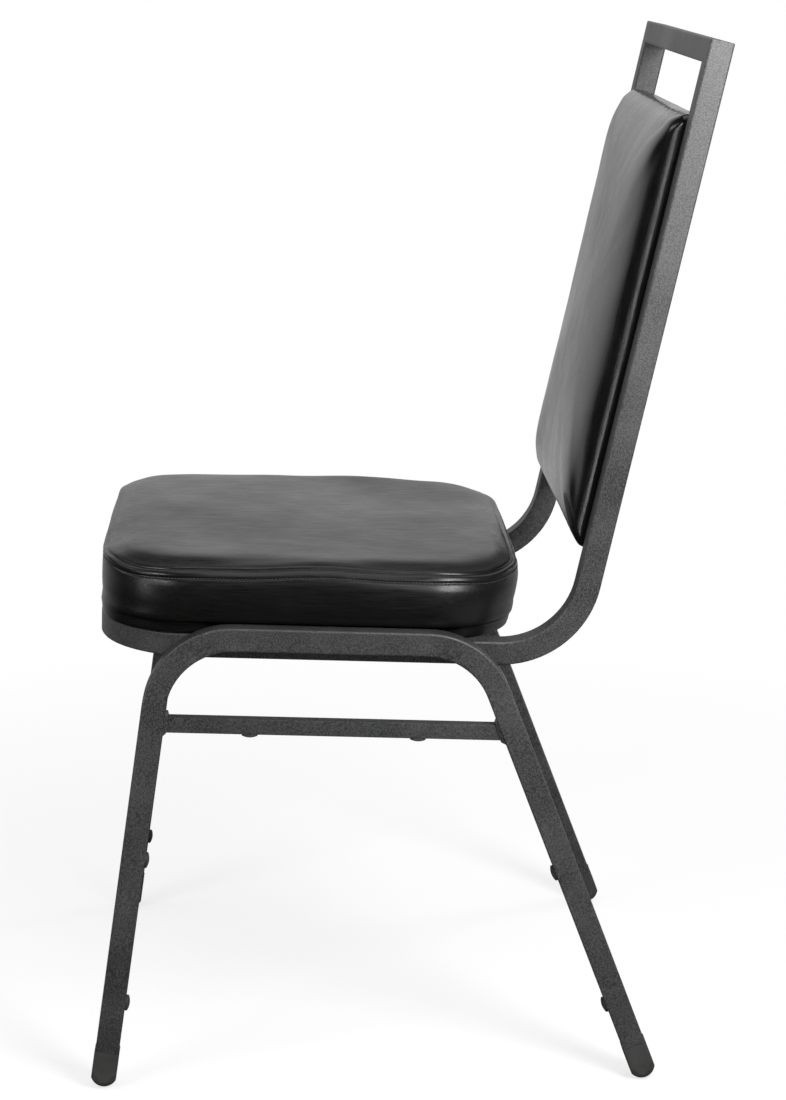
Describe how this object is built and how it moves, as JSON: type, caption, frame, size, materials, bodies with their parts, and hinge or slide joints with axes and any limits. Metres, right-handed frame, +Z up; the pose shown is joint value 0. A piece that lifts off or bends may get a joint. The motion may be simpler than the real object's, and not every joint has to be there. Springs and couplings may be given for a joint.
{
  "type": "stacking choir chair",
  "caption": "Stacking choir chair with a square tube steel frame, padded seat and back, side stretchers and a handle opening under the top rail",
  "frame": {"origin": "on the floor, below the centre of the chair's overall length and width", "axes": "+Z up, the sitter faces -Y, +X to the sitter's left"},
  "size_m": [0.4774, 0.5866, 0.9784],
  "materials": {
    "frame": "textured powder coat",
    "hardware": "zinc plated",
    "glide": "moulded",
    "bumper": "moulded",
    "cover": "grained vinyl",
    "foam": "open cell foam",
    "board": "plywood",
    "dust_cloth": "thin non-woven cloth"
  },
  "bodies": {
    "root": {"left_side_tube": "frame", "right_side_tube": "frame", "top_rail": "frame", "front_seat_rail": "frame", "rear_seat_crossbar": "frame", "rail_joint_sleeves": "hardware", "left_leg_frame": "frame", "right_leg_frame": "frame", "left_stretcher": "frame", "right_stretcher": "frame", "stretcher_welds": "frame", "front_left_glide": "glide", "front_right_glide": "glide", "rear_left_glide": "glide", "rear_right_glide": "glide", "front_leg_bumpers": "bumper", "rear_leg_bumpers": "bumper", "stretcher_bumpers": "bumper", "seat_mounting_tabs": "frame", "seat_screws": "hardware", "seat_t_nuts": "hardware", "seat_board": "board", "seat_dust_cover": "dust_cloth", "seat_foam": "foam", "seat_top_panel": "cover", "seat_side_band": "cover", "back_mounting_tabs": "frame", "back_screws": "hardware", "back_t_nuts": "hardware", "back_board": "board", "back_foam": "foam", "back_front_cover": "cover", "back_rear_panel": "cover"}
  },
  "joints": []
}
